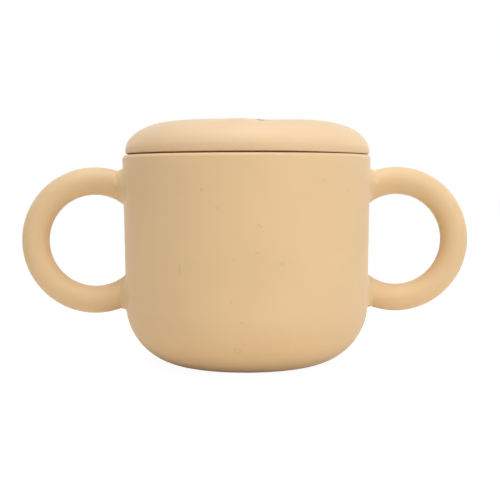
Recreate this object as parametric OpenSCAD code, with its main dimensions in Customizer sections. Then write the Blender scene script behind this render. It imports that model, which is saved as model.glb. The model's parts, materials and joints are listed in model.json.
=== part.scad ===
// Toddler snack cup: a soft silicone cup with two ring handles and a domed lid.
// The lid plugs into the mouth, and a star cut in its top leaves petals that a hand pushes in.
// Z is up, the table is at z = 0, the cup's axis is the Z axis and the handles lie along X.

/* [Cup] */
// Outer diameter of the rim
rim_d = 83.4; // [74:0.1:96]
// Height of the rim above the table
cup_h = 70.4; // [62:0.1:84]
// Height of the full-width band below the rim
band_h = 4; // [2:0.5:6]
// How far the wall draws in below the band, on the radius
band_step = 0.3; // [0.2:0.1:1.4]
// Height over which the wall draws in
band_blend = 13; // [8:0.5:18]
// Draft angle of the wall
draft = 0.75; // [0.25:0.05:2.5]
// Outer radius of the round bottom corner
corner_r = 20.8; // [14:0.1:26]
// Thickness of the wall
wall = 2.7; // [2:0.1:3.4]
// Thickness of the floor
floor_t = 3; // [2:0.1:5]
// Thickness of the wall at the rim
rim_wall = 3; // [2.4:0.1:3.6]
// Depth of the straight land that the lid's plug fits
land_h = 11; // [10:0.5:16]
// Radius of the rim's outer edge
rim_outer_round = 1.2; // [0.4:0.1:1.3]
// Radius of the rim's inner edge
rim_inner_round = 0.6; // [0.3:0.1:1]

/* [Handles] */
// Radius of a handle's ring, to the middle of its tube
ring_r = 19.8; // [17:0.1:22]
// Diameter of a handle's tube
tube_d = 9.2; // [7:0.1:10]
// How far the ring's centre lies outside the rim
ring_out = 9.5; // [7:0.1:12]
// Height of the ring's centre above the table
ring_z = 42; // [38:0.5:44]
// How far outside the rim the flared collar at each root comes out of the tube
collar_out = 1.9; // [0.8:0.1:2.4]
// Angle at which a collar flares towards the wall
collar_flare = 22; // [14:1:32]
// How far a collar's axis lies outside the tube's, away from the finger hole
collar_lift = 0.3; // [0.2:0.05:0.5]

/* [Lid] */
// How far the lid's edge lies inside the rim's, on the radius
lid_inset = 0.7; // [0.4:0.1:1.2]
// Height of the dome, from the lid's underside to its flat top
dome_h = 10.6; // [8:0.1:14]
// Width of the rounded shoulder, on the radius
shoulder_w = 15.9; // [13:0.1:17]
// Fullness of the shoulder's curve, 2 for an ellipse
shoulder_n = 1.85; // [1.7:0.05:2.4]
// Height of the lid's rounded lower edge
lid_edge_h = 1.5; // [0.8:0.1:2]
// Width of the lid's rounded lower edge
lid_edge_w = 0.8; // [0.4:0.1:1]
// Open seam between the lid's edge and the rim
seam_gap = 0.5; // [0.3:0.1:1]
// Clearance between the lid's seat and the rim
seat_gap = 0.3; // [0.3:0.05:0.5]
// Depth of the plug below the rim
plug_depth = 8.8; // [7:0.1:10]
// Thickness of the plug's skirt
skirt_t = 2; // [1.4:0.1:3]
// Gap between the skirt and the mouth
skirt_gap = 1; // [0.7:0.1:1.4]
// Clearance between the seal bead and the mouth
bead_gap = 0.3; // [0.3:0.05:0.5]
// Depth of the seal bead below the rim
bead_depth = 4.4; // [3:0.1:5]
// Radius of the seal bead
bead_r = 1; // [0.9:0.1:1.5]

/* [Petals] */
// Distance from the lid's axis to the end of each slit
slit_reach = 27.5; // [22:0.5:28]
// Width of a slit
slit_w = 0.4; // [0.3:0.05:0.8]
// Thickness of a petal
petal_t = 1.6; // [1.2:0.1:1.8]
// Radius of the round hole that ends each slit
relief_r = 1.2; // [1.1:0.1:1.6]
// Clearance round a petal's root
root_gap = 0.4; // [0.35:0.05:0.6]
// How much thinner than the petal its root bead is, on the radius
root_inset = 0.1; // [0.05:0.05:0.2]
// How far the slit nearest the front is turned towards the right handle
slit_turn = 7; // [0:1:59]

/* [Hidden] */
$fn = 96;

cup_colour = "#e2c295";
handle_colour = "#e6c79c";
lid_colour = "#f0d3aa";
petal_colour = "#f5dab4";

corner_steps = 16;
blend_steps = 8;
edge_steps = 5;
dome_steps = 16;
overshoot = 1;

// Outer wall of the cup
rim_r = rim_d / 2;
blend_top = cup_h - band_h;
blend_low = blend_top - band_blend;
corner_top = corner_r * (1 - sin(draft));
function wall_r(z) = rim_r - band_step - tan(draft) * (blend_low - z);
corner_x = wall_r(corner_top) - corner_r * cos(draft);

// Inner wall of the cup
inner_corner_r = corner_r - wall;
inner_corner_top = floor_t + inner_corner_r * (1 - sin(draft));
inner_corner_x = wall_r(inner_corner_top) - wall - inner_corner_r * cos(draft);
mouth_r = rim_r - rim_wall;
land_low = cup_h - land_h;
land_lead = 1.5;

// Handles
ring_x = rim_r + ring_out;
tube_r = tube_d / 2;
collar_x = rim_r + collar_out;
collar_z = sqrt(ring_r * ring_r - (ring_x - collar_x) * (ring_x - collar_x)) + collar_lift;
collar_proud = 0.3;
collar_tail = 2;
collar_depth = collar_tail + collar_out + band_step + overshoot;

// Lid
lid_r = rim_r - lid_inset;
under_z = cup_h + seam_gap;
seat_z = cup_h + seat_gap;
seat_lead = 0.2;
seat_r = lid_r - lid_edge_w - seat_lead;
equator_z = under_z + lid_edge_h;
top_z = under_z + dome_h;
flat_r = lid_r - shoulder_w;
skirt_r = mouth_r - skirt_gap;
skirt_in = skirt_r - skirt_t;
skirt_low = cup_h - plug_depth;
skirt_round = skirt_t / 4;
bead_x = mouth_r - bead_gap - bead_r;
bead_z = cup_h - bead_depth;
web_z = top_z - petal_t;
web_r = slit_reach + relief_r / 2;

// Petals
petal_count = 6;
half_angle = 180 / petal_count;
hinge_r = slit_reach * cos(half_angle);
hinge_z = top_z - petal_t / 2;
root_r = petal_t / 2 - root_inset;
groove_r = petal_t / 2 + root_gap;
tip_x = slit_w / 2 / sin(half_angle);
petal_half = (hinge_r - tip_x) * tan(half_angle);
front = 270;

function arc(x, y, rx, ry, from, to, steps) =
    [for (i = [0:steps]) let (a = from + (to - from) * i / steps) [x + rx * cos(a), y + ry * sin(a)]];

// A quarter of a superellipse, from its top to its side
function shoulder(x, y, rx, ry, n, steps) =
    [for (i = [0:steps]) let (a = 90 - 90 * i / steps)
        [x + rx * pow(max(0, cos(a)), 2 / n), y + ry * pow(max(0, sin(a)), 2 / n)]];

// Eases from 0 to 1 with no slope at either end
function ease(t) = (1 - cos(180 * t)) / 2;

// The cup's outer outline, from the middle of its base up to the rim's outer edge
function outer_wall() = concat(
    [[0, 0]],
    arc(corner_x, corner_r, corner_r, corner_r, -90, -draft, corner_steps),
    [for (i = [0:blend_steps]) let (t = i / blend_steps)
        [rim_r - band_step * (1 - ease(t)), blend_low + band_blend * t]],
    arc(rim_r - rim_outer_round, cup_h - rim_outer_round, rim_outer_round, rim_outer_round, 0, 90,
        edge_steps));

// The cup's inner outline, from the rim's inner edge down to the middle of its floor
function inner_wall() = concat(
    arc(mouth_r + rim_inner_round, cup_h - rim_inner_round, rim_inner_round, rim_inner_round, 90, 180,
        edge_steps),
    [[mouth_r, land_low + land_lead], [wall_r(land_low) - wall, land_low]],
    arc(inner_corner_x, floor_t + inner_corner_r, inner_corner_r, inner_corner_r, -draft, -90, corner_steps),
    [[0, floor_t]]);

// The lid's section, petals uncut, from the middle of its top round to the middle of its underside
function lid_section() = concat(
    [[0, top_z]],
    shoulder(flat_r, equator_z, shoulder_w, top_z - equator_z, shoulder_n, dome_steps),
    arc(lid_r - lid_edge_w, equator_z, lid_edge_w, lid_edge_h, -90 / edge_steps, -90, edge_steps - 1),
    [[seat_r, seat_z], [skirt_r, seat_z]],
    arc(skirt_r - skirt_round, skirt_low + skirt_round, skirt_round, skirt_round, 0, -90, edge_steps),
    arc(skirt_in + skirt_round, skirt_low + skirt_round, skirt_round, skirt_round, -90, -180, edge_steps),
    arc(web_r, equator_z, skirt_in - web_r, web_z - equator_z, 0, 90, dome_steps),
    [[0, web_z]]);

function petal_turn(i) = front + slit_turn - half_angle + 2 * half_angle * (i - 1);

module cup_solid() {
    rotate_extrude() polygon(concat(outer_wall(), [[0, cup_h]]));
}

module cup_body() {
    color(cup_colour) rotate_extrude() polygon(concat(outer_wall(), inner_wall()));
}

// One flared root collar, a cone that starts inside the tube and widens to the wall
module collar(z) {
    tail_r = tube_r + collar_proud - collar_tail * tan(collar_flare);
    translate([collar_x + collar_tail, 0, z]) rotate([0, -90, 0])
        cylinder(h = collar_depth, r1 = tail_r, r2 = tail_r + collar_depth * tan(collar_flare));
}

// A ring handle on the +X side, cut to the cup's wall
module handle() {
    difference() {
        union() {
            translate([ring_x, 0, ring_z]) rotate([90, 0, 0])
                rotate_extrude() translate([ring_r, 0]) circle(r = tube_r);
            collar(ring_z + collar_z);
            collar(ring_z - collar_z);
        }
        cup_solid();
    }
}

module left_handle() {
    color(handle_colour) rotate([0, 0, 180]) handle();
}

module right_handle() {
    color(handle_colour) handle();
}

// The space that the petals, their roots and the slit ends leave in the lid's top
module star_opening() {
    rotate([0, 0, front + slit_turn]) {
        translate([0, 0, web_z - overshoot])
            linear_extrude(height = petal_t + 2 * overshoot) circle(r = slit_reach, $fn = petal_count);
        for (i = [0:petal_count - 1]) {
            rotate([0, 0, 2 * half_angle * i]) {
                translate([slit_reach, 0, web_z - overshoot])
                    cylinder(h = petal_t + 2 * overshoot, r = relief_r);
                rotate([0, 0, half_angle]) translate([hinge_r, 0, hinge_z]) rotate([90, 0, 0])
                    cylinder(h = 2 * hinge_r * tan(half_angle), r = groove_r, center = true);
            }
        }
    }
}

module lid() {
    color(lid_colour) difference() {
        union() {
            rotate_extrude() polygon(lid_section());
            rotate_extrude() translate([bead_x, bead_z]) circle(r = bead_r);
        }
        star_opening();
    }
}

// One petal: a flat wedge with a round bead along its root
module petal(i) {
    color(petal_colour) rotate([0, 0, petal_turn(i)]) difference() {
        union() {
            translate([0, 0, web_z]) linear_extrude(height = petal_t)
                polygon([[tip_x, 0], [hinge_r, -petal_half], [hinge_r, petal_half]]);
            translate([hinge_r, 0, hinge_z]) rotate([90, 0, 0])
                cylinder(h = 2 * petal_half, r = root_r, center = true);
        }
        for (side = [-1, 1])
            translate([hinge_r, side * hinge_r * tan(half_angle), web_z - overshoot])
                cylinder(h = petal_t + 2 * overshoot, r = relief_r);
    }
}

cup_body();
left_handle();
right_handle();
lid();
petal(1);  // petal_1
petal(2);  // petal_2
petal(3);  // petal_3
petal(4);  // petal_4
petal(5);  // petal_5
petal(6);  // petal_6
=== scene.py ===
"""The looks of a soft silicone snack cup with two ring handles and a star-cut lid.

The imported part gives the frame. Each piece here stands for one of its nodes, in the same place.
Lengths in this file are millimetres until a mesh is made. The surroundings' lengths are metres.
"""

import json
import math

import bmesh
import bpy
import numpy as np
from mathutils import Matrix, Vector


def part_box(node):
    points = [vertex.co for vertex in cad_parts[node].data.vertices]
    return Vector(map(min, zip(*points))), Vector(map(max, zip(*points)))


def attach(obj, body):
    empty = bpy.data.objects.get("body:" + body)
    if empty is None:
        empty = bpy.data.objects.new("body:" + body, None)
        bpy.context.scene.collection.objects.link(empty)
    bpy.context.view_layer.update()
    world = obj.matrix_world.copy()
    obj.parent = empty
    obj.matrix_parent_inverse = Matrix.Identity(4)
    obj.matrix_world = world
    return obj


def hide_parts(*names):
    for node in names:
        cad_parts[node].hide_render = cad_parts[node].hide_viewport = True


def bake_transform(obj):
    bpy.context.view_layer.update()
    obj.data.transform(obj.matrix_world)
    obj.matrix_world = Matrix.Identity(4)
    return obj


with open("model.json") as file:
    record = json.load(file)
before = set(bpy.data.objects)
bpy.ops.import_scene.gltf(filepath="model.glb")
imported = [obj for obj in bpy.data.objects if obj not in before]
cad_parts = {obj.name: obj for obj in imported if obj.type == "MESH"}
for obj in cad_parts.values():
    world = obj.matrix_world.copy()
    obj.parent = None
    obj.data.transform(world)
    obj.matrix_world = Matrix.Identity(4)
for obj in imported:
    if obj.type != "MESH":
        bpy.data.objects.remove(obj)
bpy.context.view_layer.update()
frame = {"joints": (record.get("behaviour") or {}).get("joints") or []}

MM = 0.001


def frame_box(node):
    """A node's lowest and highest corners in millimetres, to a tenth."""
    return [np.round(np.array(corner) / MM, 1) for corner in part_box(node)]


# Sizes that the frame gives
rim_r = frame_box("cup_body")[1][0]
cup_h = frame_box("cup_body")[1][2]
lid_r = frame_box("lid")[1][0]
top_z = frame_box("lid")[1][2]
handle_low, handle_high = frame_box("right_handle")
folds = [joint for joint in frame["joints"] if joint["type"] == "hinge"]
hinge_r = math.hypot(*folds[0]["pos_m"][:2]) / MM
hinge_z = folds[0]["pos_m"][2] / MM

# Cup: a drafted wall with a large round at the bottom, and a band that stands a little proud at the rim
band_h = 4.0
band_step = 0.3
band_blend = 13.0
draft = math.radians(0.75)
corner_r = 20.8
wall_t = 2.7
floor_t = 3.0
rim_wall = 3.0
land_h = 11.0
land_lead = 1.5
rim_outer_round = 1.2
rim_inner_round = 0.6
mouth_r = rim_r - rim_wall
blend_low = cup_h - band_h - band_blend
# How close the points of the cup's outline lie on its straight stretches, and the steps of its round ones
floor_step = 2.5
wall_step = 2.0
land_step = 1.5
lip_step = 1.0
lead_step = 0.5
corner_steps = 48
inner_corner_steps = 40
blend_steps = 26
lip_steps = 10
inner_lip_steps = 8
turn_steps = 288

# Handles: a round tube bent into a ring, with a flared collar round each root
tube_r = 4.6
ring_z = (handle_low[2] + handle_high[2]) / 2
ring_outer = (handle_high[2] - handle_low[2]) / 2
ring_x = handle_high[0] - ring_outer
ring_r = ring_outer - tube_r
# A collar is a little wider than the tube, lies a little off its middle and is squarer than a circle
collar_over = 0.25
collar_r = tube_r + collar_over
collar_lift = 0.3
collar_full = 2.6
crease_soft = 0.2
# Each root's side (upper +1, lower -1), how far its collar reaches out of the rim, how much further for each
# millimetre away from the finger hole, and its flare
collars = ((1, 1.5, 0.14, math.radians(22)), (-1, 0.7, 0.0, math.radians(8)))
root_reach = 4.2
# The fillet at each root: its radius away from the finger hole and towards it, and how far its flare at the
# sides runs along the wall and out of it
fillet_outer = 0.45
fillet_inner = 0.3
flare_along = 6.0
flare_out = 3.4
side_focus = 4
# How deep each root's cap lies in the wall
root_sunk = 0.15
# The plain ring ends at this angle from its outermost point, and soft loops lead on from there to each root
ring_end = math.radians(100)
ring_loops = 121
between_loops = 8
tube_steps = 96
tube_spin = np.linspace(0, math.tau, tube_steps, endpoint=False)
root_gaps = np.concatenate([[0, 0.03, 0.08, 0.15, 0.24, 0.35], np.arange(0.5, root_reach + 0.01, 0.12)])
cap_shares = (0.0, 0.35, 0.7, 1.0)
# The search for the handle's surface along a ray: its nearest and farthest reach, and how often it is halved
least_reach = 1.0
most_reach = 12.0
halvings = 40

# Lid: a flat top, a shoulder that is a superellipse with the exponent shoulder_n, and a thin rounded edge
dome_h = 10.6
shoulder_w = 15.9
shoulder_n = 1.85
lid_edge_h = 1.5
lid_edge_w = 0.6
lid_edge_full = 4.0
# Its seat above the rim, and the plug's skirt with the seal bead round it
seat_gap = 0.3
seat_lead = 0.4
plug_depth = 8.8
skirt_t = 2.0
skirt_gap = 1.0
bead_gap = 0.3
bead_depth = 4.4
bead_r = 1.0
under_z = top_z - dome_h
equator_z = under_z + lid_edge_h
flat_r = lid_r - shoulder_w
seat_z = cup_h + seat_gap
seat_x = lid_r - lid_edge_w - seat_lead
skirt_r = mouth_r - skirt_gap
skirt_in = skirt_r - skirt_t
skirt_low = cup_h - plug_depth
foot_r = skirt_t / 4
# The star's part of the section ends at this radius, and the outline outside it is the same all round
star_ring_r = 29.6
dome_steps = 44
edge_steps = 14
seat_step = 0.5
skirt_step = 0.8
skirt_in_step = 1.0
bead_steps = 14
foot_steps = 6
hollow_steps = 22

# How the soft lid sits: a little to the right, where its edge touches the rim
lid_aside = 0.27
aside_full_r = 38.0
# Pressed down on the front, from the middle to the right, and less on the left
front_press = 0.41
press_from = (-1.5, 0.5)
press_to = (7.0, 20.0)
press_front = (10.0, 24.0)
press_edge = (29.0, 37.0)
left_dent = 0.12
left_dent_x = -9.0
left_dent_w = 5.0
# A dent at one slit's end, and a droop of the right edge
slit_dent = 0.2
slit_dent_x = 3.5
slit_dent_y = -28.9
slit_dent_w = 2.0
right_droop = 0.28
droop_side = (8.0, 34.0)
droop_edge = (36.0, 40.5)

# Painted shade in the lid's joint on the rim: how far in it starts, and how far below the seat it fades out
joint_shade_inset = 0.2
joint_shade_low = 1.5
joint_shade_full = 0.7

# Star cut: slits that end in small round holes, and petals that bend at a root between two such holes
petal_count = 6
half_angle = math.pi / petal_count
slit_reach = hinge_r / math.cos(half_angle)
slit_w = 0.25
petal_t = 2 * (top_z - hinge_z)
web_z = top_z - petal_t
relief_r = 1.2
web_clear = 0.2
web_r = slit_reach + relief_r + web_clear
# A petal begins a little outside its hinge
root_out = 0.6
root_x = hinge_r + root_out
tip_x = 0.5
slit_mid_x = 17.0
# The cut's edges are slightly round, and that fades out within a small angle beside a petal's root
cut_round = 0.12
cut_fade = 0.004
# Where a petal's straight root meets the round hole, as an angle from the slit
corner_y = hinge_r * math.tan(half_angle) - math.sqrt(relief_r ** 2 - (root_x - hinge_r) ** 2)
corner_angle = half_angle - math.atan2(corner_y, root_x)
same_angle = 1e-9
hole_columns = 21
root_columns = 42
edge_points = 5
top_points = 8
web_points = 4
across_points = 29
row_counts = (17, 20, 24)
# One petal's edge stands a little proud along its slit
petal_lifts = {"petal_1": 0.25}
lift_across = (0.1, 1.0)
lift_along = (6.0, 20.0)
lift_root = 2.5
least_half_width = 0.5

# Points closer than this are one point
same_point = 1e-6
grid_merge = 1e-4
grid_sliver = 1e-5
cup_merge = 1e-3
petal_merge = 2e-3


def smooth(low, high, value):
    """Rises from 0 at low to 1 at high with no slope at either end."""
    t = np.clip((value - low) / (high - low), 0, 1)
    return t * t * (3 - 2 * t)


def arc(x, z, radius_x, radius_z, start, end, steps):
    """Points along an arc, with angles in degrees."""
    angles = np.radians(np.linspace(start, end, steps + 1))
    return np.stack([x + radius_x * np.cos(angles), z + radius_z * np.sin(angles)], 1)


def line(start, end, spacing):
    """Points along a straight line, both ends included."""
    steps = max(1, round(math.dist(start, end) / spacing))
    t = np.linspace(0, 1, steps + 1)[:, None]
    return np.array(start) * (1 - t) + np.array(end) * t


def chain(*stretches):
    """Joins stretches of points into one list, each shared point once."""
    points = [stretches[0][0]]
    for stretch in stretches:
        for point in stretch:
            if math.dist(point, points[-1]) > same_point:
                points.append(point)
    return np.array(points)


def wall_r(z):
    """Outer radius of the cup's drafted wall at a height."""
    return rim_r - band_step - math.tan(draft) * (blend_low - z)


def wall_at(z):
    """Outer radius of the cup at any height of the handles' roots, the blend to the band included."""
    t = np.clip((z - blend_low) / band_blend, 0, 1)
    return rim_r - band_step * (1 + np.cos(math.pi * t)) / 2 - math.tan(draft) * np.maximum(blend_low - z, 0)


def shell_from_grid(points, close_rows=True):
    """A closed mesh from a grid of points in millimetres, with its doubles merged and its faces outwards."""
    rows, columns = points.shape[:2]
    mesh = bpy.data.meshes.new("shell")
    faces = []
    for i in range(rows if close_rows else rows - 1):
        for j in range(columns):
            a, b = i * columns + j, i * columns + (j + 1) % columns
            c, d = (i + 1) % rows * columns + (j + 1) % columns, (i + 1) % rows * columns + j
            faces.append((a, b, c, d))
    mesh.from_pydata((points.reshape(-1, 3) * MM).tolist(), [], faces)
    made = bmesh.new()
    made.from_mesh(mesh)
    bmesh.ops.remove_doubles(made, verts=made.verts, dist=grid_merge * MM)
    bmesh.ops.dissolve_degenerate(made, edges=made.edges, dist=grid_sliver * MM)
    bmesh.ops.recalc_face_normals(made, faces=made.faces)
    made.to_mesh(mesh)
    made.free()
    mesh.shade_smooth()
    return mesh


def piece(name, mesh, material):
    """A finished piece at the origin."""
    mesh.name = name
    mesh.materials.clear()
    mesh.materials.append(material)
    made = bpy.data.objects.new(name, mesh)
    bpy.context.scene.collection.objects.link(made)
    return made


def add_node(tree, kind, inputs=None, **settings):
    """Adds a node, sets its properties, then fills or links its inputs."""
    node = tree.nodes.new(kind)
    for name, value in settings.items():
        setattr(node, name, value)
    for key, value in (inputs or {}).items():
        if isinstance(value, bpy.types.NodeSocket):
            tree.links.new(value, node.inputs[key])
        else:
            node.inputs[key].default_value = value
    return node


def math_node(tree, operation, *values):
    """The result of a math node."""
    return add_node(tree, "ShaderNodeMath", dict(enumerate(values)), operation=operation).outputs[0]


def whole_math(tree, operation, first, second):
    """The result of a math node for whole numbers."""
    return add_node(tree, "FunctionNodeIntegerMath", {0: first, 1: second}, operation=operation).outputs[0]


def linear(colour):
    """An sRGB hex colour as linear red, green, blue and alpha."""
    channels = [int(colour[i:i + 2], 16) / 255 for i in (1, 3, 5)]
    return [c / 12.92 if c <= 0.04045 else ((c + 0.055) / 1.055) ** 2.4 for c in channels] + [1.0]


# Camera, fitted to the photograph: 500 pixels wide, with the cup's axis a little left of its middle
photo_px = 500
focal_px = 1117.1
camera_distance = 379.1
camera_height = 61.5
camera_turn = math.radians(-2.8)
camera_tilt = math.radians(3.5)
camera_roll = math.radians(0.13)
camera_aside = 1.12
sensor_mm = 36
nearest_seen = 0.01
farthest_seen = 20


def make_camera():
    """The photograph's camera, just below the height of the lid and a little to the left."""
    ahead = Vector((-math.sin(camera_turn) * math.cos(camera_tilt),
                    math.cos(camera_turn) * math.cos(camera_tilt), -math.sin(camera_tilt)))
    right = ahead.cross(Vector((0, 0, 1))).normalized()
    up = right.cross(ahead)
    roll_right = right * math.cos(camera_roll) - up * math.sin(camera_roll)
    roll_up = up * math.cos(camera_roll) + right * math.sin(camera_roll)
    data = bpy.data.cameras.new("camera")
    data.sensor_width = sensor_mm
    data.lens = sensor_mm * focal_px / photo_px
    data.clip_start, data.clip_end = nearest_seen, farthest_seen
    made = bpy.data.objects.new("camera", data)
    stand = Vector((math.sin(camera_turn), -math.cos(camera_turn), 0)) * camera_distance
    stand += Vector((0, 0, camera_height)) + right * camera_aside
    axes = Matrix((roll_right, roll_up, -ahead)).transposed()
    made.matrix_world = Matrix.Translation(stand * MM) @ axes.to_4x4()
    bpy.context.scene.collection.objects.link(made)
    bpy.context.scene.camera = made


def outer_outline():
    """The cup's outside, from the middle of its base up to the rim's outer edge."""
    corner_top = corner_r * (1 - math.sin(draft))
    corner_x = wall_r(corner_top) - corner_r * math.cos(draft)
    draft_deg = math.degrees(draft)
    t = np.linspace(0, 1, blend_steps + 1)
    blend = np.stack([rim_r - band_step * (1 + np.cos(math.pi * t)) / 2, blend_low + band_blend * t], 1)
    band_top = cup_h - rim_outer_round
    return chain(line((0, 0), (corner_x, 0), floor_step),
                 arc(corner_x, corner_r, corner_r, corner_r, -90, -draft_deg, corner_steps),
                 line((wall_r(corner_top), corner_top), (wall_r(blend_low), blend_low), wall_step), blend,
                 line((rim_r, blend_low + band_blend), (rim_r, band_top), lip_step),
                 arc(rim_r - rim_outer_round, band_top, rim_outer_round, rim_outer_round, 0, 90, lip_steps))


def inner_outline():
    """The cup's inside, from the rim's inner edge down to the middle of its floor."""
    inner_r = corner_r - wall_t
    corner_top = floor_t + inner_r * (1 - math.sin(draft))
    corner_x = wall_r(corner_top) - wall_t - inner_r * math.cos(draft)
    land_low = cup_h - land_h
    inner_edge = cup_h - rim_inner_round
    land_foot = (wall_r(land_low) - wall_t, land_low)
    return chain(arc(mouth_r + rim_inner_round, inner_edge, rim_inner_round, rim_inner_round, 90, 180,
                     inner_lip_steps),
                 line((mouth_r, inner_edge), (mouth_r, land_low + land_lead), land_step),
                 line((mouth_r, land_low + land_lead), land_foot, lead_step),
                 line(land_foot, (wall_r(corner_top) - wall_t, corner_top), wall_step),
                 arc(corner_x, floor_t + inner_r, inner_r, inner_r, -math.degrees(draft), -90,
                     inner_corner_steps),
                 line((corner_x, floor_t), (0, floor_t), floor_step))


def new_tree(name, inputs, output):
    """A geometry tree with its named inputs and its one output."""
    tree = bpy.data.node_groups.new(name, "GeometryNodeTree")
    for label, kind in inputs:
        tree.interface.new_socket(label, in_out="INPUT", socket_type="NodeSocket" + kind)
    tree.interface.new_socket(output, in_out="OUTPUT", socket_type="NodeSocketGeometry")
    return tree


def grid_place(tree, columns):
    """The row and the column of each point of a grid, from its index."""
    index = add_node(tree, "GeometryNodeInputIndex").outputs[0]
    return whole_math(tree, "DIVIDE_FLOOR", index, columns), whole_math(tree, "MODULO", index, columns)


def point_at(tree, points, index):
    """Where one point of a mesh of loose points lies."""
    place = add_node(tree, "GeometryNodeInputPosition").outputs[0]
    return add_node(tree, "GeometryNodeSampleIndex", {"Geometry": points, "Value": place, "Index": index},
                    data_type="FLOAT_VECTOR").outputs[0]


def turned(tree, place, angle):
    """A place turned round the Z axis."""
    return add_node(tree, "ShaderNodeVectorRotate", {"Vector": place, "Angle": angle},
                    rotation_type="Z_AXIS").outputs[0]


def finish_skin(tree, given, rows, columns, place, output):
    """Brings a grid's points to their places, merges its seams and gives it its material."""
    grid = add_node(tree, "GeometryNodeMeshGrid", {"Vertices X": rows, "Vertices Y": columns})
    skin = add_node(tree, "GeometryNodeSetPosition", {"Geometry": grid.outputs["Mesh"], "Position": place})
    closed = add_node(tree, "GeometryNodeMergeByDistance",
                      {"Geometry": skin.outputs[0], "Distance": given["Merge within"]})
    shaded = add_node(tree, "GeometryNodeSetShadeSmooth", {"Geometry": closed.outputs[0]})
    real = add_node(tree, "GeometryNodeRealizeInstances", {"Geometry": shaded.outputs[0]})
    finished = add_node(tree, "GeometryNodeSetMaterial",
                        {"Geometry": real.outputs[0], "Material": given["Finish"]})
    add_node(tree, "NodeGroupOutput", {output: finished.outputs[0]})


def turned_tree():
    """Turns an outline of points round the Z axis into one closed skin."""
    tree = new_tree("turned_wall", (("Outline", "Geometry"), ("Points", "Int"), ("Steps round", "Int"),
                                    ("Merge within", "Float"), ("Finish", "Material")), "Skin")
    given = add_node(tree, "NodeGroupInput").outputs
    columns = whole_math(tree, "ADD", given["Steps round"], 1)
    row, step = grid_place(tree, columns)
    share = math_node(tree, "DIVIDE", step, given["Steps round"])
    angle = math_node(tree, "MULTIPLY", share, math.tau)
    place = turned(tree, point_at(tree, given["Outline"], row), angle)
    finish_skin(tree, given, given["Points"], columns, place, "Skin")
    return tree


def grown(tree, start_mesh, **values):
    """Runs a geometry tree on a mesh with its named inputs set, and gives the result as a plain mesh."""
    carrier = bpy.data.objects.new("carrier", start_mesh)
    bpy.context.scene.collection.objects.link(carrier)
    modifier = carrier.modifiers.new("grow", "NODES")
    modifier.node_group = tree
    for item in tree.interface.items_tree:
        key = item.name.lower().replace(" ", "_")
        if item.in_out == "INPUT" and key in values:
            modifier[item.identifier] = values[key]
    evaluated = carrier.evaluated_get(bpy.context.evaluated_depsgraph_get())
    mesh = bpy.data.meshes.new_from_object(evaluated)
    carrier.modifiers.remove(modifier)
    bpy.data.objects.remove(carrier)
    return mesh


def face_outwards(mesh):
    """Turns a closed mesh's faces so that they all look out."""
    made = bmesh.new()
    made.from_mesh(mesh)
    bmesh.ops.recalc_face_normals(made, faces=made.faces)
    made.to_mesh(mesh)
    made.free()
    return mesh


def points_mesh(points):
    """A mesh of loose points in millimetres, for a tree to read by their index."""
    mesh = bpy.data.meshes.new("points")
    mesh.from_pydata((np.asarray(points) * MM).tolist(), [], [])
    return mesh


def cup_mesh(material):
    """The cup's wall, floor and rim, turned from one outline."""
    outline = chain(outer_outline(), inner_outline())
    points = np.stack([outline[:, 0], np.zeros(len(outline)), outline[:, 1]], 1)
    return face_outwards(grown(turned_tree(), points_mesh(points), points=len(points), steps_round=turn_steps,
                               merge_within=cup_merge * MM, finish=material))


def joined_softly(first, second, softness):
    """Joins two distance fields, with the crease between them filled by a small radius."""
    mix = np.clip(0.5 + 0.5 * (second - first) / softness, 0, 1)
    return second * (1 - mix) + first * mix - softness * mix * (1 - mix)


def handle_distance(x, y, z):
    """Signed distance to the ring with its two flared collars, below zero inside."""
    out = np.hypot(x - ring_x, z - ring_z)
    tube = np.hypot(out - ring_r, y) - tube_r
    made = tube
    for side, out_of_rim, slant, flare in collars:
        end_x = rim_r + out_of_rim
        middle = ring_z + side * (math.sqrt(ring_r ** 2 - (ring_x - end_x) ** 2) + collar_lift)
        reach = (np.abs(y) ** collar_full + np.abs(z - middle) ** collar_full) ** (1 / collar_full)
        cone = (reach - collar_r - (end_x - x) * math.tan(flare)) * math.cos(flare)
        end = end_x + side * slant * (z - middle) - x
        collar = -joined_softly(-cone, end, crease_soft)
        made = joined_softly(made, collar, crease_soft)
    return made


def ring_ray(angle):
    """A function that walks out from the middle of the tube, in the ring's own cross-section."""
    def at(reach):
        out = ring_r + reach * np.cos(tube_spin)
        return np.stack([ring_x + out * math.cos(angle), reach * np.sin(tube_spin),
                         ring_z + out * math.sin(angle)], 1)
    return at


def root_ray(gap, side):
    """A function that walks out from the middle of the tube, keeping one distance from the cup's wall."""
    x = wall_r(ring_z + side * ring_r) + gap
    middle = ring_z + side * math.sqrt(ring_r ** 2 - (ring_x - x) ** 2)

    def at(reach):
        y = reach * np.sin(tube_spin)
        z = middle + side * reach * np.cos(tube_spin)
        return np.stack([np.sqrt((wall_at(z) + gap) ** 2 - y ** 2), y, z], 1)
    return at


def mixed_ray(first, second, share):
    """A function that walks out between two such walks."""
    def at(reach):
        return first(reach) * (1 - share) + second(reach) * share
    return at


def surface_reach(ray):
    """How far along each ray the handle's surface lies."""
    near, far = np.full(tube_steps, least_reach), np.full(tube_steps, most_reach)
    for _ in range(halvings):
        middle = (near + far) / 2
        inside = handle_distance(*ray(middle).T) < 0
        near, far = np.where(inside, middle, near), np.where(inside, far, middle)
    return (near + far) / 2


def surface_loop(ray):
    """The loop of points in which the rays meet the handle's surface."""
    return ray(surface_reach(ray))


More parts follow.
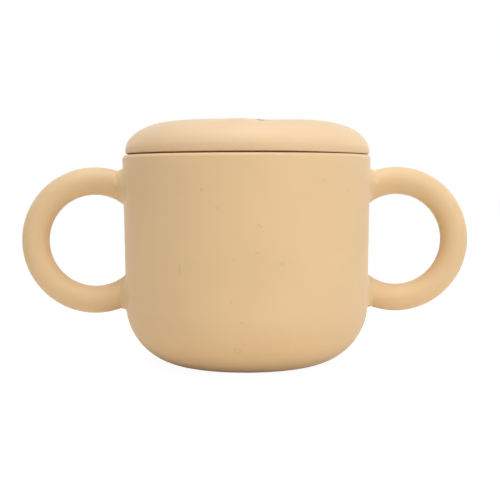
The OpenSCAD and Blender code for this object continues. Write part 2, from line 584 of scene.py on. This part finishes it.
def root_fillet(gap):
    """How much the fillet adds at a distance from the wall: small above and below, wide at the sides."""
    small = np.where(np.cos(tube_spin) > 0, fillet_outer, fillet_inner)
    at_side = np.sin(tube_spin) ** side_focus
    along = small + (flare_along - small) * at_side
    out = small + (flare_out - small) * at_side
    left = np.clip(1 - gap / out, 0, 1)
    return along * (1 - np.sqrt(1 - left ** 2))


def root_loops(side):
    """Loops from the wall outwards at one root, side +1 for the upper one, with a cap inside the wall."""
    loops = []
    for gap in root_gaps:
        ray = root_ray(gap, side)
        loops.append(ray(surface_reach(ray) + root_fillet(gap)))
    sunk = root_ray(-root_sunk, side)
    edge = surface_reach(sunk) + root_fillet(0)
    return [sunk(edge * share) for share in cap_shares] + loops


def handle_points():
    """The right handle as a grid of loops, from its lower root round to its upper root."""
    between = []
    for side in (-1, 1):
        root, ring = root_ray(root_reach, side), ring_ray(side * ring_end)
        shares = np.linspace(0, 1, between_loops + 2)[1:-1]
        between.append([surface_loop(mixed_ray(root, ring, share)) for share in shares])
    middle = [surface_loop(ring_ray(angle)) for angle in np.linspace(-ring_end, ring_end, ring_loops)]
    return np.array(root_loops(-1) + between[0] + middle + between[1][::-1] + root_loops(1)[::-1])


def handle_mesh(side):
    """One ring handle, side +1 for the right one."""
    points = handle_points()
    if side < 0:
        points = points * np.array([-1, -1, 1])
    return shell_from_grid(points, close_rows=False)


def crown_drop(r):
    """How far the lid's top lies below its flat middle at a radius."""
    t = np.clip((r - flat_r) / shoulder_w, 0, 1)
    return (top_z - equator_z) * (1 - (1 - t ** shoulder_n) ** (1 / shoulder_n))


def star_edge(angle):
    """Radius of the star opening's edge, and how round that edge is, at an angle from the nearest slit."""
    away = abs(angle)
    if away > corner_angle + same_angle:
        return root_x / math.cos(half_angle - away), 0.0
    height = math.sqrt(max(0.0, relief_r ** 2 - (slit_reach * math.sin(away)) ** 2))
    return slit_reach * math.cos(away) + height, cut_round * float(smooth(0, cut_fade, corner_angle - away))


def lid_angles():
    """Angles of the lid's columns, measured from each slit, close together at the round slit ends."""
    hole = [corner_angle * math.sin(math.pi / 2 * t) for t in np.linspace(-1, 1, hole_columns)]
    root = list(np.linspace(corner_angle, 2 * half_angle - corner_angle, root_columns))[1:-1]
    return hole + root


def lid_outside():
    """The lid's section from the star's ring over the shoulder to its lower edge, as radius and height."""
    t = np.radians(np.linspace(90, 0, dome_steps + 1))
    dome = np.stack([flat_r + shoulder_w * np.cos(t) ** (2 / shoulder_n),
                     equator_z + (top_z - equator_z) * np.sin(t) ** (2 / shoulder_n)], 1)
    t = np.radians(np.linspace(0, 90, edge_steps + 1)[1:])
    edge = np.stack([lid_r - lid_edge_w * (1 - np.cos(t) ** (2 / lid_edge_full)),
                     equator_z - lid_edge_h * np.sin(t) ** (2 / lid_edge_full)], 1)
    return np.concatenate([dome[dome[:, 0] > star_ring_r], edge])


def lid_under():
    """The lid's section under its edge: the seat, the plug's skirt with its bead, and the hollow inside."""
    bead_x = mouth_r - bead_gap - bead_r
    bead_z = cup_h - bead_depth
    bead_turn = math.degrees(math.acos((skirt_r - bead_x) / bead_r))
    bead_half = bead_r * math.sin(math.radians(bead_turn))
    foot_z = skirt_low + foot_r
    return chain(line((seat_x, seat_z), (skirt_r, seat_z), seat_step),
                 line((skirt_r, seat_z), (skirt_r, bead_z + bead_half), skirt_step),
                 arc(bead_x, bead_z, bead_r, bead_r, bead_turn, -bead_turn, bead_steps),
                 line((skirt_r, bead_z - bead_half), (skirt_r, foot_z), skirt_step),
                 arc(skirt_r - foot_r, foot_z, foot_r, foot_r, 0, -90, foot_steps),
                 arc(skirt_in + foot_r, foot_z, foot_r, foot_r, -90, -180, foot_steps),
                 line((skirt_in, foot_z), (skirt_in, equator_z), skirt_in_step),
                 arc(web_r, equator_z, skirt_in - web_r, web_z - equator_z, 0, 90, hollow_steps))


def lid_outline():
    """The lid's section outside the star, and how much of the lid's soft sit each of its points takes."""
    outside, under = lid_outside(), lid_under()
    hollow = np.linspace(0, 1, hollow_steps + 1)[1:]
    still = np.zeros(len(under) - len(hollow))
    give = np.concatenate([np.ones(len(outside)), still, smooth(0, 1, hollow)])
    return np.concatenate([outside, under]), give


def seat_shift(x, y):
    """How the soft lid sits, as millimetres to the right and upwards."""
    r = np.hypot(x, y)
    aside = lid_aside * smooth(star_ring_r, aside_full_r, r)
    press = front_press * smooth(*press_from, x) * (1 - smooth(*press_to, x))
    press = press + left_dent * np.exp(-((x - left_dent_x) / left_dent_w) ** 2)
    press = press * smooth(*press_front, -y) * (1 - smooth(*press_edge, r))
    dent = slit_dent * np.exp(-((x - slit_dent_x) ** 2 + (y - slit_dent_y) ** 2) / slit_dent_w ** 2)
    droop = right_droop * smooth(*droop_side, x) * smooth(*droop_edge, r)
    return aside, -press - dent - droop


def lid_section(away, outline):
    """The lid's closed section at an angle from the nearest slit, from the star's edge round to it again."""
    edge_r, edge_round = star_edge(away)
    edge_in = edge_r + edge_round
    corner = np.radians(np.linspace(90, 0, edge_points))
    top_edge = top_z - crown_drop(edge_in)
    upper = np.stack([edge_r + edge_round * (1 - np.cos(corner)),
                      top_edge - edge_round * (1 - np.sin(corner))], 1)[::-1]
    lower = np.stack([upper[:, 0], web_z + top_edge - upper[:, 1]], 1)[::-1]
    span = edge_in + (star_ring_r - edge_in) * np.linspace(0, 1, top_points + 1)[1:]
    top = np.stack([span, top_z - crown_drop(span)], 1)
    web = np.stack([np.linspace(web_r, edge_in, web_points + 1)[1:], np.full(web_points, web_z)], 1)
    return np.concatenate([upper, top, outline, web, lower])


def lid_points(turn):
    """The lid as a grid, with rows along its section and columns round it."""
    outline, give = lid_outline()
    gives = np.concatenate([np.ones(edge_points + top_points), give, np.ones(web_points + edge_points)])
    columns = []
    for slit in range(petal_count):
        for away in lid_angles():
            section = lid_section(away if away <= half_angle else away - 2 * half_angle, outline)
            angle = turn + slit * 2 * half_angle + away
            x, y = section[:, 0] * math.cos(angle), section[:, 0] * math.sin(angle)
            aside, up = seat_shift(x, y)
            columns.append(np.stack([x + aside * gives, y, section[:, 1] + up * gives], 1))
    return np.array(columns).transpose(1, 0, 2)


def mark_joint_shade(mesh):
    """Writes how deep each point lies in the lid's joint on the rim, as an attribute that places painted
    shade.
    """
    points = np.empty(len(mesh.vertices) * 3)
    mesh.vertices.foreach_get("co", points)
    x, y, z = points.reshape(-1, 3).T / MM
    r = np.hypot(x, y)
    inside = (r > skirt_r - joint_shade_inset) * (1 - smooth(lid_r - lid_edge_w, lid_r - joint_shade_inset, r))
    above = smooth(seat_z - joint_shade_low, seat_z - joint_shade_full, z) * (z < equator_z)
    joint = mesh.attributes.new("joint", "FLOAT", "POINT")
    joint.data.foreach_set("value", inside * above)
    return mesh


def petal_half_width(x):
    """Half a petal's width at a distance from the lid's axis, to its slit or the round hole at its end."""
    slit = x * math.tan(half_angle) - slit_w / 2 / math.cos(half_angle)
    across = relief_r ** 2 - (x - hinge_r) ** 2
    if across <= 0:
        return slit
    return min(slit, hinge_r * math.tan(half_angle) - math.sqrt(across))


def petal_section():
    """A petal's cross-section as side, edge rounding and height, from one side over the top and back."""
    across = np.linspace(-1, 1, across_points)
    corner = np.linspace(0, math.pi / 2, edge_points)
    share = cut_round / (petal_t / 2)
    upper = [(-1, -cut_round * (1 - math.cos(a)), 1 - share * (1 - math.sin(a))) for a in corner]
    upper += [(s, s * cut_round, 1) for s in across[1:-1]]
    upper += [(1, cut_round * (1 - math.cos(a)), 1 - share * (1 - math.sin(a))) for a in corner[::-1]]
    lower = [(s, inset, -height) for s, inset, height in upper[::-1]]
    return [(-1, 0, 0)] + upper + [(1, 0, 0)] + lower


def petal_rows():
    """Distances from the axis along a petal, its half width there and how open its section is."""
    stations = (root_x, hinge_r - relief_r, slit_mid_x, tip_x)
    far = [root_x]
    for start, end, count in zip(stations, stations[1:], row_counts):
        far += list(np.linspace(start, end, count)[1:])
    rows = [(x, petal_half_width(x), 1) for x in far]
    return [(*rows[0][:2], 0)] + rows + [(*rows[-1][:2], 0)]


def petal_tree():
    """Lofts a petal from its rows and its cross-section, and turns it to its place in the star."""
    tree = new_tree("petal_sheet", (("Shape", "Geometry"), ("Rows", "Int"), ("Section", "Int"),
                                    ("Thickness", "Float"), ("Middle height", "Float"), ("Unit", "Float"),
                                    ("Turn", "Float"), ("Merge within", "Float"), ("Finish", "Material")),
                    "Sheet")
    given = add_node(tree, "NodeGroupInput").outputs
    columns = whole_math(tree, "ADD", given["Section"], 1)
    row, step = grid_place(tree, columns)
    across = point_at(tree, given["Shape"], whole_math(tree, "MODULO", step, given["Section"]))
    along = point_at(tree, given["Shape"], whole_math(tree, "ADD", row, given["Section"]))
    side = add_node(tree, "ShaderNodeSeparateXYZ", {0: across}).outputs
    far = add_node(tree, "ShaderNodeSeparateXYZ", {0: along}).outputs
    share = math_node(tree, "DIVIDE", side["X"], given["Unit"])
    reach = math_node(tree, "MULTIPLY", share, far["Y"])
    y = math_node(tree, "SUBTRACT", reach, side["Y"])
    level = math_node(tree, "MULTIPLY", side["Z"], far["Z"])
    unit_area = math_node(tree, "MULTIPLY", given["Unit"], given["Unit"])
    open_level = math_node(tree, "DIVIDE", level, unit_area)
    half_thickness = math_node(tree, "MULTIPLY", given["Thickness"], 0.5)
    z = math_node(tree, "MULTIPLY_ADD", open_level, half_thickness, given["Middle height"])
    flat = add_node(tree, "ShaderNodeCombineXYZ", {"X": far["X"], "Y": y, "Z": z}).outputs[0]
    finish_skin(tree, given, given["Rows"], columns, turned(tree, flat, given["Turn"]), "Sheet")
    return tree


def settle_petal(mesh, turn, lift):
    """Lowers a petal's top to the dome at its root corners, and lifts its edge along one slit."""
    count = len(mesh.vertices)
    points = np.empty(count * 3)
    mesh.vertices.foreach_get("co", points)
    points = points.reshape(-1, 3) / MM
    r = np.hypot(points[:, 0], points[:, 1])
    top_share = np.clip((points[:, 2] - web_z) / petal_t, 0, 1)
    points[:, 2] -= crown_drop(r) * top_share
    along = points[:, 0] * math.cos(turn) + points[:, 1] * math.sin(turn)
    aside = points[:, 1] * math.cos(turn) - points[:, 0] * math.sin(turn)
    half_width = np.maximum(along * math.tan(half_angle), least_half_width)
    near_slit = smooth(*lift_across, aside / half_width)
    points[:, 2] += lift * near_slit * smooth(*lift_along, along) * smooth(root_x, root_x - lift_root, along)
    points[:, 2] += seat_shift(points[:, 0], points[:, 1])[1]
    mesh.vertices.foreach_set("co", (points * MM).ravel())
    mesh.update()


# Small marks on the moulded wall: the middle in millimetres, half the length and half the width, the turn in
# degrees and how much darker they are
marks = (((-15.6, -38.5, 59.1), 0.8, 0.45, -35, 0.16), ((-10.8, -40.0, 53.8), 1.0, 0.9, 0, 0.09),
         ((2.1, -41.3, 48.2), 1.3, 0.42, -32, 0.2), ((22.5, -35.0, 61.8), 1.0, 0.4, -60, 0.12),
         ((30.9, -27.7, 58.4), 0.7, 0.5, 20, 0.1), ((9.0, -40.2, 36.2), 1.0, 0.9, 0, 0.12),
         ((-5.9, -40.8, 37.7), 0.6, 0.5, 0, 0.13), ((1.3, -41.2, 39.8), 1.1, 0.45, 0, 0.1),
         ((-22.3, -34.6, 34.7), 2.1, 0.3, 88, 0.14), ((-6.6, -40.5, 24.9), 0.5, 0.45, 0, 0.16),
         ((-3.5, -40.7, 18.5), 0.6, 0.5, 0, 0.16), ((12.4, 39.1, 52.0), 0.9, 0.4, 40, 0.16),
         ((-19.0, 36.3, 33.0), 0.7, 0.6, 0, 0.1))
# How deep into the wall a mark reaches, and where it starts to fade and ends, as shares of its own size
mark_depth = 6.0
mark_full = 0.2
mark_end = 1.1
# The ring that the mould's ejector pin leaves low on the front
gate_at = (-4.7, -37.2, 9.3)
gate_r = 0.95
gate_ring = 0.35
gate_dark = 0.15
gate_height = 0.05
gate_strength = 0.5

# Silicone: its colours, the paler and darker patches of its tint, and how dark the deepest mark is
cup_colour = "#debf94"
lid_colour = "#debf98"
# Painted shade, deep reddish brown, in the lid's joint on the rim
painted_joint_shade_colour = "#b83210"
# Each noise has its size in millimetres, its detail and its roughness
patch_noise = (22.0, 3.0, 0.5)
patch_shade = 0.93
patch_from = (0.35, 0.75)
patch_most = 0.5
mark_shade = 0.2
# The fine grain and the slow swell of the moulded face, with the height and the strength of each
grain_noise = (0.35, 2.0, 0.6)
grain_height = 0.04
grain_strength = 0.12
swell_noise = (5.0, 2.0, 0.5)
swell_height = 0.08
swell_strength = 0.25
rough_from = (0.3, 0.7)
rough_to = (0.5, 0.62)
# How light goes through and off the rubber
rubber_ior = 1.41
inner_share = 0.15
inner_colour_reach = (1.0, 0.55, 0.3)
inner_depth = 0.8
powder_share = 0.35
powder_rough = 0.4
powder_tint = "#fff6ea"
# The joint's painted shade shows where rays of this length mostly meet something, not where they go free
joint_shade_look = 1.0
joint_shade_open = (0.35, 0.5)
joint_shade_rays = 4


def remap(tree, value, start, end):
    """Maps one range of values to another, held at its ends."""
    return add_node(tree, "ShaderNodeMapRange", {"Value": value, "From Min": start[0], "From Max": start[1],
                                                 "To Min": end[0], "To Max": end[1]}).outputs[0]


def noise(tree, where, kind):
    """Soft noise, given as its size in millimetres, its detail and its roughness."""
    size, detail, roughness = kind
    return add_node(tree, "ShaderNodeTexNoise", {"Vector": where, "Scale": 1 / (size * MM), "Detail": detail,
                                                 "Roughness": roughness}).outputs["Fac"]


def mixed_colour(tree, share, first, second):
    """Mixes two colours by a share."""
    return add_node(tree, "ShaderNodeMix", {"Factor": share, 6: first, 7: second},
                    data_type="RGBA").outputs[2]


def bump(tree, height, strength, depth, **below):
    """Bumps in millimetres, on top of the normal that lies below."""
    return add_node(tree, "ShaderNodeBump", {"Strength": strength, "Distance": depth * MM, "Height": height,
                                             **below}).outputs[0]


def mark_share(tree, where):
    """How much the small marks darken each point: faint specks, a hair's trace and a short scratch."""
    total = None
    for place, half_length, half_width, turn, dark in marks:
        size = (half_length * MM, mark_depth * MM, half_width * MM)
        local = add_node(tree, "ShaderNodeMapping",
                         {"Vector": where, "Location": [v * MM for v in place], "Scale": size,
                          "Rotation": (0, math.radians(-turn), 0)}, vector_type="TEXTURE").outputs[0]
        far = add_node(tree, "ShaderNodeVectorMath", {0: local}, operation="LENGTH").outputs["Value"]
        share = remap(tree, far, (mark_full, mark_end), (dark, 0.0))
        total = share if total is None else math_node(tree, "ADD", total, share)
    return total


def gate_share(tree, where):
    """The ejector pin's ring: 1 on the ring, 0 away from it on both sides."""
    far = add_node(tree, "ShaderNodeVectorMath", {0: where, 1: [v * MM for v in gate_at]},
                   operation="DISTANCE").outputs["Value"]
    off = math_node(tree, "ABSOLUTE", math_node(tree, "SUBTRACT", far, gate_r * MM))
    return remap(tree, off, (0.0, gate_ring * MM), (1.0, 0.0))


def painted_joint_shade_share(tree):
    """Painted shade in the lid's joint, by how closed each point is: 1 with the lid on the rim, 0 once it is
    lifted.
    """
    depth = add_node(tree, "ShaderNodeAttribute", attribute_name="joint").outputs["Fac"]
    openness = add_node(tree, "ShaderNodeAmbientOcclusion", {"Distance": joint_shade_look * MM},
                        samples=joint_shade_rays).outputs["AO"]
    return math_node(tree, "MULTIPLY", depth, remap(tree, openness, joint_shade_open, (1.0, 0.0)))


def silicone(name, colour, is_marked):
    """Compression-moulded silicone rubber: matte with a pale powdery sheen at its edges, a fine even grain on
    a slow swell, light glowing a little way in, and slow changes of tint. The cup also shows its small marks,
    and the lid a painted deep reddish shade where it closes on the rim."""
    material = bpy.data.materials.new(name)
    material.use_nodes = True
    tree = material.node_tree
    tree.nodes.clear()
    where = add_node(tree, "ShaderNodeTexCoord").outputs["Object"]
    base = linear(colour)
    shade = [c * patch_shade for c in base[:3]] + [1.0]
    deep = [c * mark_shade for c in base[:3]] + [1.0]
    patches = remap(tree, noise(tree, where, patch_noise), patch_from, (0.0, patch_most))
    tinted = mixed_colour(tree, patches, base, shade)
    grain = noise(tree, where, grain_noise)
    swell = noise(tree, where, swell_noise)
    fine = bump(tree, grain, grain_strength, grain_height)
    bumps = bump(tree, swell, swell_strength, swell_height, Normal=fine)
    if is_marked:
        ring = gate_share(tree, where)
        dark = math_node(tree, "MULTIPLY_ADD", ring, gate_dark, mark_share(tree, where))
        tinted = mixed_colour(tree, dark, tinted, deep)
        bumps = bump(tree, ring, gate_strength, gate_height, Normal=bumps)
    else:
        # Painted shade, deep reddish brown, where the lid closes on the rim
        tinted = mixed_colour(tree, painted_joint_shade_share(tree), tinted, linear(painted_joint_shade_colour))
    rough = remap(tree, grain, rough_from, rough_to)
    surface = add_node(tree, "ShaderNodeBsdfPrincipled",
                       {"Base Color": tinted, "Roughness": rough, "IOR": rubber_ior, "Normal": bumps,
                        "Subsurface Weight": inner_share, "Subsurface Radius": inner_colour_reach,
                        "Subsurface Scale": inner_depth * MM, "Sheen Weight": powder_share,
                        "Sheen Roughness": powder_rough, "Sheen Tint": linear(powder_tint)})
    add_node(tree, "ShaderNodeOutputMaterial", {"Surface": surface.outputs[0]})
    return material


def make_cup(material):
    """The cup's body."""
    body = piece("cup_body_skin", cup_mesh(material), material)
    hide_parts("cup_body")
    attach(body, "cup")


def make_handles(material):
    """Both ring handles, moulded in one with the cup."""
    for name, side in (("left_handle", -1), ("right_handle", 1)):
        ring = piece(name + "_skin", handle_mesh(side), material)
        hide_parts(name)
        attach(ring, "cup")


def make_lid(material):
    """The lid's dome, edge, plug and bead, with the star opening."""
    first = folds[0]["pos_m"]
    turn = math.atan2(first[1], first[0]) + half_angle
    lid = piece("lid_skin", mark_joint_shade(shell_from_grid(lid_points(turn))), material)
    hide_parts("lid")
    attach(lid, "lid")


def make_petals(material):
    """The six petals, each meeting the lid at its root."""
    tree = petal_tree()
    section, rows = petal_section(), petal_rows()
    for fold in folds:
        name = fold["child"]
        turn = math.atan2(fold["pos_m"][1], fold["pos_m"][0])
        mesh = grown(tree, points_mesh(section + rows), rows=len(rows), section=len(section),
                     thickness=petal_t * MM, middle_height=hinge_z * MM, unit=MM, turn=turn,
                     merge_within=petal_merge * MM, finish=material)
        settle_petal(face_outwards(mesh), turn, petal_lifts.get(name, 0.0))
        petal = piece(name + "_skin", mesh, material)
        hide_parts(name)
        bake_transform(petal)


# Surroundings, lengths in metres: the white room's light, and the paper floor, which reads white but lights
# the cup's foot as warm paper does
room_light = 0.375
floor_half = 3.0
paper_colour = (0.92, 0.86, 0.77, 1)
shadow_colour = (0.14, 0.14, 0.14, 1)
floor_glow = 0.95
clear_from = (0.03, 0.08)
plain_white = (1, 1, 1, 1)
# Soft lamps: name, azimuth, elevation, power in watts and tint. Azimuth 0 is in front, 90 on the right
lamps = (("overhead_box", 0, 89, 5.9, (0.94, 0.98, 1.0)), ("front_top_box", 0, 62, 3.4, (1, 1, 1)),
         ("key_box", 30, 8, 1.9, (1, 1, 1)), ("right_box", 55, 20, 1.4, (1, 1, 1)),
         ("far_right_box", 90, 8, 0.7, (1, 1, 1)), ("fill_box", -30, 8, 0.3, (1, 1, 1)),
         ("back_right_box", 130, 20, 0.5, (1, 1, 1)))
lamp_distance = 1.1
lamp_size = 0.5
lamp_aim_z = 0.045


def white_to_the_eye(tree, lit, white, clear=1.0):
    """Mixes two shaders: the lit one for all light, and the white one for camera rays and, where it is clear,
    for glossy and transmission rays."""
    path = add_node(tree, "ShaderNodeLightPath").outputs
    mirrored = math_node(tree, "MAXIMUM", path["Is Glossy Ray"], path["Is Transmission Ray"])
    shown = math_node(tree, "MULTIPLY", mirrored, clear)
    seen = math_node(tree, "MAXIMUM", path["Is Camera Ray"], shown)
    return add_node(tree, "ShaderNodeMixShader", {0: seen, 1: lit, 2: white}).outputs[0]


def make_world():
    """An even white room that the eye sees as pure white."""
    world = bpy.data.worlds.new("white_room")
    bpy.context.scene.world = world
    world.use_nodes = True
    tree = world.node_tree
    tree.nodes.clear()
    lit = add_node(tree, "ShaderNodeBackground", {"Color": plain_white, "Strength": room_light}).outputs[0]
    white = add_node(tree, "ShaderNodeBackground", {"Color": plain_white, "Strength": 1.0}).outputs[0]
    add_node(tree, "ShaderNodeOutputWorld", {"Surface": white_to_the_eye(tree, lit, white)})


def make_floor():
    """A white paper floor that keeps a faint shadow of the cup."""
    material = bpy.data.materials.new("white_paper_floor")
    material.use_nodes = True
    tree = material.node_tree
    tree.nodes.clear()
    paper = add_node(tree, "ShaderNodeBsdfDiffuse", {"Color": paper_colour}).outputs[0]
    shadow = add_node(tree, "ShaderNodeBsdfDiffuse", {"Color": shadow_colour}).outputs[0]
    where = add_node(tree, "ShaderNodeTexCoord").outputs["Object"]
    far = add_node(tree, "ShaderNodeVectorMath", {0: where}, operation="LENGTH").outputs["Value"]
    clear = remap(tree, far, clear_from, (0.0, 1.0))
    glow = add_node(tree, "ShaderNodeEmission", {"Color": plain_white, "Strength": floor_glow}).outputs[0]
    white = add_node(tree, "ShaderNodeAddShader", {0: shadow, 1: glow}).outputs[0]
    add_node(tree, "ShaderNodeOutputMaterial", {"Surface": white_to_the_eye(tree, paper, white, clear)})
    corners = [(x * floor_half, y * floor_half, 0) for x, y in ((-1, -1), (1, -1), (1, 1), (-1, 1))]
    mesh = bpy.data.meshes.new("floor")
    mesh.from_pydata(corners, [], [(0, 1, 2, 3)])
    mesh.materials.append(material)
    floor = bpy.data.objects.new("floor", mesh)
    bpy.context.scene.collection.objects.link(floor)


def softbox(name, azimuth, elevation, power, tint):
    """A square soft lamp that looks at the middle of the cup."""
    data = bpy.data.lights.new(name, "AREA")
    data.size = lamp_size
    data.energy = power
    data.color = tint
    lamp = bpy.data.objects.new(name, data)
    a, e = math.radians(azimuth), math.radians(elevation)
    out = Vector((math.sin(a) * math.cos(e), -math.cos(a) * math.cos(e), math.sin(e)))
    lamp.location = out * lamp_distance + Vector((0, 0, lamp_aim_z))
    lamp.rotation_mode = "QUATERNION"
    lamp.rotation_quaternion = out.to_track_quat("Z", "Y")
    bpy.context.scene.collection.objects.link(lamp)


def make_lamps():
    """Soft studio light: broad boxes overhead and above the front, and weaker ones round the right side."""
    for lamp in lamps:
        softbox(*lamp)


make_camera()
cup_silicone = silicone("moulded_silicone_cup", cup_colour, True)
lid_silicone = silicone("moulded_silicone_lid", lid_colour, False)
make_cup(cup_silicone)
make_handles(cup_silicone)
make_lid(lid_silicone)
make_petals(lid_silicone)
make_world()
make_floor()
make_lamps()
bpy.context.scene.view_settings.view_transform = "Standard"
